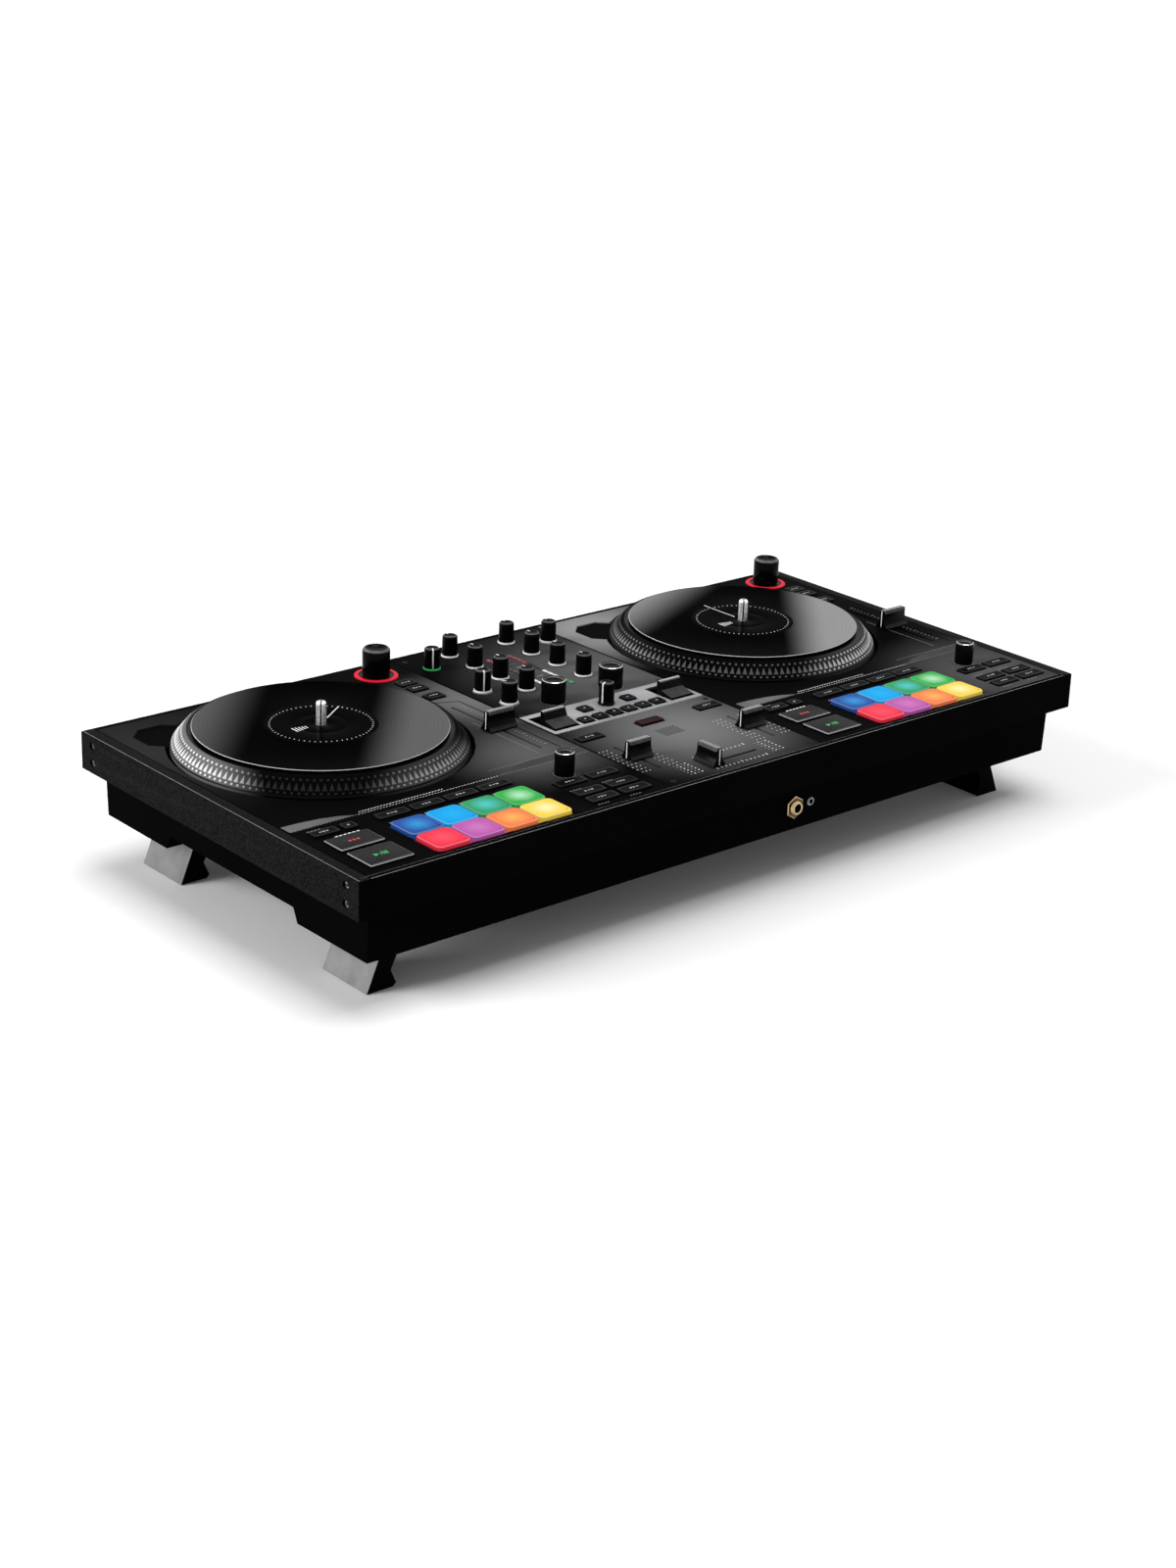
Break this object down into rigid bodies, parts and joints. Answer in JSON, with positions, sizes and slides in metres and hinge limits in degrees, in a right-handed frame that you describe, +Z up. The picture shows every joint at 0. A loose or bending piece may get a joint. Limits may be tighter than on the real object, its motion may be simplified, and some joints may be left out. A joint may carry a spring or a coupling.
{
  "type": "dj controller",
  "caption": "Two-deck DJ controller with spinning vinyl-topped platters, a centre mixer, coloured pads, keys, knobs, faders and fold-in feet, in dark metal.",
  "frame": {"origin": "middle of the footprint, on the surface the feet stand on", "axes": "+X towards the right deck as the player sees it, +Y to the back, +Z up"},
  "size_m": [0.671, 0.3246, 0.1315],
  "materials": {
    "body_black": "satin black",
    "frame_black": "satin black coat",
    "cheek_metal": "fine textured charcoal paint",
    "plate_metal": "semi-gloss dark grey",
    "platter_metal": "cast and turned, dark anodised, with white strobe dots",
    "bright_metal": "polished",
    "brass": "plated nut and collar",
    "vinyl": "glossy and grooved",
    "black_plastic": "satin",
    "key_rubber": "matt dark grey with bright edges",
    "pad_silicone": "translucent, lit from below",
    "foot_plastic": "satin",
    "board": "circuit board",
    "red_light": "translucent, lit from below",
    "meter_light": "translucent, lit from below"
  },
  "bodies": {
    "base": {"bottom_tray": "body_black", "upper_frame": "frame_black", "cheek_left": "cheek_metal", "cheek_right": "cheek_metal", "deck_plate_left": "plate_metal", "deck_plate_right": "plate_metal", "mixer_plate": "plate_metal", "deck_board_left": "board", "deck_board_right": "board", "mixer_board": "board", "level_meter": "meter_light", "headphone_sockets": "brass", "rear_sockets": "black_plastic", "light_ring_left": "red_light", "light_ring_right": "red_light"},
    "platter_left": {"platter_left": "platter_metal", "spindle_left": "bright_metal"},
    "platter_right": {"platter_right": "platter_metal", "spindle_right": "bright_metal"},
    "record_left": {"record_left": "vinyl"},
    "record_right": {"record_right": "vinyl"},
    "foot_front_left": {"foot_front_left": "foot_plastic"},
    "foot_front_right": {"foot_front_right": "foot_plastic"},
    "foot_back_left": {"foot_back_left": "foot_plastic"},
    "foot_back_right": {"foot_back_right": "foot_plastic"},
    "channel_knob_left_1": {"channel_knob_left_1": "black_plastic"},
    "channel_knob_left_2": {"channel_knob_left_2": "black_plastic"},
    "channel_knob_left_3": {"channel_knob_left_3": "black_plastic"},
    "channel_knob_left_4": {"channel_knob_left_4": "black_plastic"},
    "channel_knob_right_1": {"channel_knob_right_1": "black_plastic"},
    "channel_knob_right_2": {"channel_knob_right_2": "black_plastic"},
    "channel_knob_right_3": {"channel_knob_right_3": "black_plastic"},
    "channel_knob_right_4": {"channel_knob_right_4": "black_plastic"},
    "outer_knob_front": {"outer_knob_front": "black_plastic"},
    "outer_knob_middle": {"outer_knob_middle": "black_plastic"},
    "outer_knob_back": {"outer_knob_back": "black_plastic"},
    "outer_knob_right": {"outer_knob_right": "black_plastic"},
    "filter_knob_left": {"filter_knob_left": "black_plastic"},
    "filter_knob_right": {"filter_knob_right": "black_plastic"},
    "effect_knob": {"effect_knob": "black_plastic"},
    "effect_paddle_left": {"effect_paddle_left": "black_plastic"},
    "effect_paddle_right": {"effect_paddle_right": "black_plastic"},
    "channel_fader_left": {"channel_fader_left": "black_plastic"},
    "channel_fader_right": {"channel_fader_right": "black_plastic"},
    "crossfader": {"crossfader": "black_plastic"},
    "mixer_keys": {"mixer_keys": "key_rubber"},
    "browse_knob_left": {"browse_knob_left": "black_plastic"},
    "browse_knob_right": {"browse_knob_right": "black_plastic"},
    "pitch_fader_left": {"pitch_fader_left": "black_plastic"},
    "pitch_fader_right": {"pitch_fader_right": "black_plastic"},
    "loop_knob_left": {"loop_knob_left": "black_plastic"},
    "loop_knob_right": {"loop_knob_right": "black_plastic"},
    "cue_button_left": {"cue_button_left": "key_rubber"},
    "cue_button_right": {"cue_button_right": "key_rubber"},
    "play_button_left": {"play_button_left": "key_rubber"},
    "play_button_right": {"play_button_right": "key_rubber"},
    "pad_mat_left": {"pad_mat_left": "pad_silicone"},
    "pad_mat_right": {"pad_mat_right": "pad_silicone"},
    "deck_keys_left": {"deck_keys_left": "key_rubber"},
    "deck_keys_right": {"deck_keys_right": "key_rubber"}
  },
  "joints": [
    {"name": "platter_left_spin", "type": "hinge", "parent": "base", "child": "platter_left", "pos_m": [-0.21485, 0.04631, 0.1], "axis": [0, 0, -1], "continuous": true},
    {"name": "platter_right_spin", "type": "hinge", "parent": "base", "child": "platter_right", "pos_m": [0.18621, 0.04631, 0.1], "axis": [0, 0, -1], "continuous": true},
    {"name": "record_left_slip", "type": "hinge", "parent": "platter_left", "child": "record_left", "pos_m": [-0.21485, 0.04631, 0.1136], "axis": [0, 0, -1], "continuous": true},
    {"name": "record_right_slip", "type": "hinge", "parent": "platter_right", "child": "record_right", "pos_m": [0.18621, 0.04631, 0.1136], "axis": [0, 0, -1], "continuous": true},
    {"name": "foot_front_left_fold", "type": "hinge", "parent": "base", "child": "foot_front_left", "pos_m": [-0.284, -0.102, 0.031], "axis": [0, -1, 0], "range_deg": [0, 90]},
    {"name": "foot_front_right_fold", "type": "hinge", "parent": "base", "child": "foot_front_right", "pos_m": [0.284, -0.102, 0.031], "axis": [0, 1, 0], "range_deg": [0, 90]},
    {"name": "foot_back_left_fold", "type": "hinge", "parent": "base", "child": "foot_back_left", "pos_m": [-0.284, 0.115, 0.031], "axis": [0, -1, 0], "range_deg": [0, 90]},
    {"name": "foot_back_right_fold", "type": "hinge", "parent": "base", "child": "foot_back_right", "pos_m": [0.284, 0.115, 0.031], "axis": [0, 1, 0], "range_deg": [0, 90]},
    {"name": "channel_knob_left_1_turn", "type": "hinge", "parent": "base", "child": "channel_knob_left_1", "pos_m": [-0.0281, 0.05015, 0.1], "axis": [0, 0, -1], "range_deg": [-150, 150]},
    {"name": "channel_knob_left_2_turn", "type": "hinge", "parent": "base", "child": "channel_knob_left_2", "pos_m": [-0.0281, 0.08065, 0.1], "axis": [0, 0, -1], "range_deg": [-150, 150]},
    {"name": "channel_knob_left_3_turn", "type": "hinge", "parent": "base", "child": "channel_knob_left_3", "pos_m": [-0.0281, 0.11115, 0.1], "axis": [0, 0, -1], "range_deg": [-150, 150]},
    {"name": "channel_knob_left_4_turn", "type": "hinge", "parent": "base", "child": "channel_knob_left_4", "pos_m": [-0.0281, 0.14165, 0.1], "axis": [0, 0, -1], "range_deg": [-150, 150]},
    {"name": "channel_knob_right_1_turn", "type": "hinge", "parent": "base", "child": "channel_knob_right_1", "pos_m": [0.0269, 0.05015, 0.1], "axis": [0, 0, -1], "range_deg": [-150, 150]},
    {"name": "channel_knob_right_2_turn", "type": "hinge", "parent": "base", "child": "channel_knob_right_2", "pos_m": [0.0269, 0.08065, 0.1], "axis": [0, 0, -1], "range_deg": [-150, 150]},
    {"name": "channel_knob_right_3_turn", "type": "hinge", "parent": "base", "child": "channel_knob_right_3", "pos_m": [0.0269, 0.11115, 0.1], "axis": [0, 0, -1], "range_deg": [-150, 150]},
    {"name": "channel_knob_right_4_turn", "type": "hinge", "parent": "base", "child": "channel_knob_right_4", "pos_m": [0.0269, 0.14165, 0.1], "axis": [0, 0, -1], "range_deg": [-150, 150]},
    {"name": "outer_knob_front_turn", "type": "hinge", "parent": "base", "child": "outer_knob_front", "pos_m": [-0.0571, 0.03455, 0.1], "axis": [0, 0, -1], "range_deg": [-100, 200]},
    {"name": "outer_knob_middle_turn", "type": "hinge", "parent": "base", "child": "outer_knob_middle", "pos_m": [-0.0571, 0.06545, 0.1], "axis": [0, 0, -1], "range_deg": [0, 300]},
    {"name": "outer_knob_back_turn", "type": "hinge", "parent": "base", "child": "outer_knob_back", "pos_m": [-0.0571, 0.12615, 0.1], "axis": [0, 0, -1], "range_deg": [0, 300]},
    {"name": "outer_knob_right_turn", "type": "hinge", "parent": "base", "child": "outer_knob_right", "pos_m": [0.056, 0.12615, 0.1], "axis": [0, 0, -1], "range_deg": [-150, 150]},
    {"name": "filter_knob_left_turn", "type": "hinge", "parent": "base", "child": "filter_knob_left", "pos_m": [-0.0281, 0.01965, 0.1], "axis": [0, 0, -1], "range_deg": [-150, 150]},
    {"name": "filter_knob_right_turn", "type": "hinge", "parent": "base", "child": "filter_knob_right", "pos_m": [0.0269, 0.01965, 0.1], "axis": [0, 0, -1], "range_deg": [-150, 150]},
    {"name": "effect_knob_turn", "type": "hinge", "parent": "base", "child": "effect_knob", "pos_m": [-0.0005, -0.00735, 0.1], "axis": [0, 0, -1], "range_deg": [-42, 258]},
    {"name": "effect_paddle_left_tip", "type": "hinge", "parent": "base", "child": "effect_paddle_left", "pos_m": [-0.056, -0.01535, 0.095], "axis": [1, 0, 0], "range_deg": [-5, 10]},
    {"name": "effect_paddle_right_tip", "type": "hinge", "parent": "base", "child": "effect_paddle_right", "pos_m": [0.055, -0.01535, 0.095], "axis": [1, 0, 0], "range_deg": [-5, 10]},
    {"name": "channel_fader_left_slide", "type": "slide", "parent": "base", "child": "channel_fader_left", "axis": [0, 1, 0], "range_m": [-0.021, 0.021]},
    {"name": "channel_fader_right_slide", "type": "slide", "parent": "base", "child": "channel_fader_right", "axis": [0, 1, 0], "range_m": [-0.021, 0.021]},
    {"name": "crossfader_slide", "type": "slide", "parent": "base", "child": "crossfader", "axis": [1, 0, 0], "range_m": [0, 0.042]},
    {"name": "pitch_fader_left_slide", "type": "slide", "parent": "base", "child": "pitch_fader_left", "axis": [0, 1, 0], "range_m": [-0.0435, 0.0505]},
    {"name": "pitch_fader_right_slide", "type": "slide", "parent": "base", "child": "pitch_fader_right", "axis": [0, 1, 0], "range_m": [-0.0435, 0.0505]},
    {"name": "browse_knob_left_turn", "type": "hinge", "parent": "base", "child": "browse_knob_left", "pos_m": [-0.099, 0.13915, 0.1], "axis": [0, 0, -1], "continuous": true},
    {"name": "browse_knob_right_turn", "type": "hinge", "parent": "base", "child": "browse_knob_right", "pos_m": [0.30206, 0.13915, 0.1], "axis": [0, 0, -1], "continuous": true},
    {"name": "loop_knob_left_turn", "type": "hinge", "parent": "base", "child": "loop_knob_left", "pos_m": [-0.116, -0.09685, 0.1], "axis": [0, 0, -1], "continuous": true},
    {"name": "loop_knob_right_turn", "type": "hinge", "parent": "base", "child": "loop_knob_right", "pos_m": [0.28506, -0.09685, 0.1], "axis": [0, 0, -1], "continuous": true},
    {"name": "cue_button_left_press", "type": "slide", "parent": "base", "child": "cue_button_left", "axis": [0, 0, -1], "range_m": [0, 0.001], "stiffness_N_per_m": 600, "springref_m": -0.001},
    {"name": "cue_button_right_press", "type": "slide", "parent": "base", "child": "cue_button_right", "axis": [0, 0, -1], "range_m": [0, 0.001], "stiffness_N_per_m": 600, "springref_m": -0.001},
    {"name": "play_button_left_press", "type": "slide", "parent": "base", "child": "play_button_left", "axis": [0, 0, -1], "range_m": [0, 0.001], "stiffness_N_per_m": 600, "springref_m": -0.001},
    {"name": "play_button_right_press", "type": "slide", "parent": "base", "child": "play_button_right", "axis": [0, 0, -1], "range_m": [0, 0.001], "stiffness_N_per_m": 600, "springref_m": -0.001},
    {"name": "pad_mat_left_press", "type": "slide", "parent": "base", "child": "pad_mat_left", "axis": [0, 0, -1], "range_m": [0, 0.0008], "stiffness_N_per_m": 1800, "springref_m": -0.001},
    {"name": "pad_mat_right_press", "type": "slide", "parent": "base", "child": "pad_mat_right", "axis": [0, 0, -1], "range_m": [0, 0.0008], "stiffness_N_per_m": 1800, "springref_m": -0.001},
    {"name": "deck_keys_left_press", "type": "slide", "parent": "base", "child": "deck_keys_left", "axis": [0, 0, -1], "range_m": [0, 0.0008], "stiffness_N_per_m": 1200, "springref_m": -0.001},
    {"name": "deck_keys_right_press", "type": "slide", "parent": "base", "child": "deck_keys_right", "axis": [0, 0, -1], "range_m": [0, 0.0008], "stiffness_N_per_m": 1200, "springref_m": -0.001},
    {"name": "mixer_keys_press", "type": "slide", "parent": "base", "child": "mixer_keys", "axis": [0, 0, -1], "range_m": [0, 0.0008], "stiffness_N_per_m": 800, "springref_m": -0.001}
  ]
}
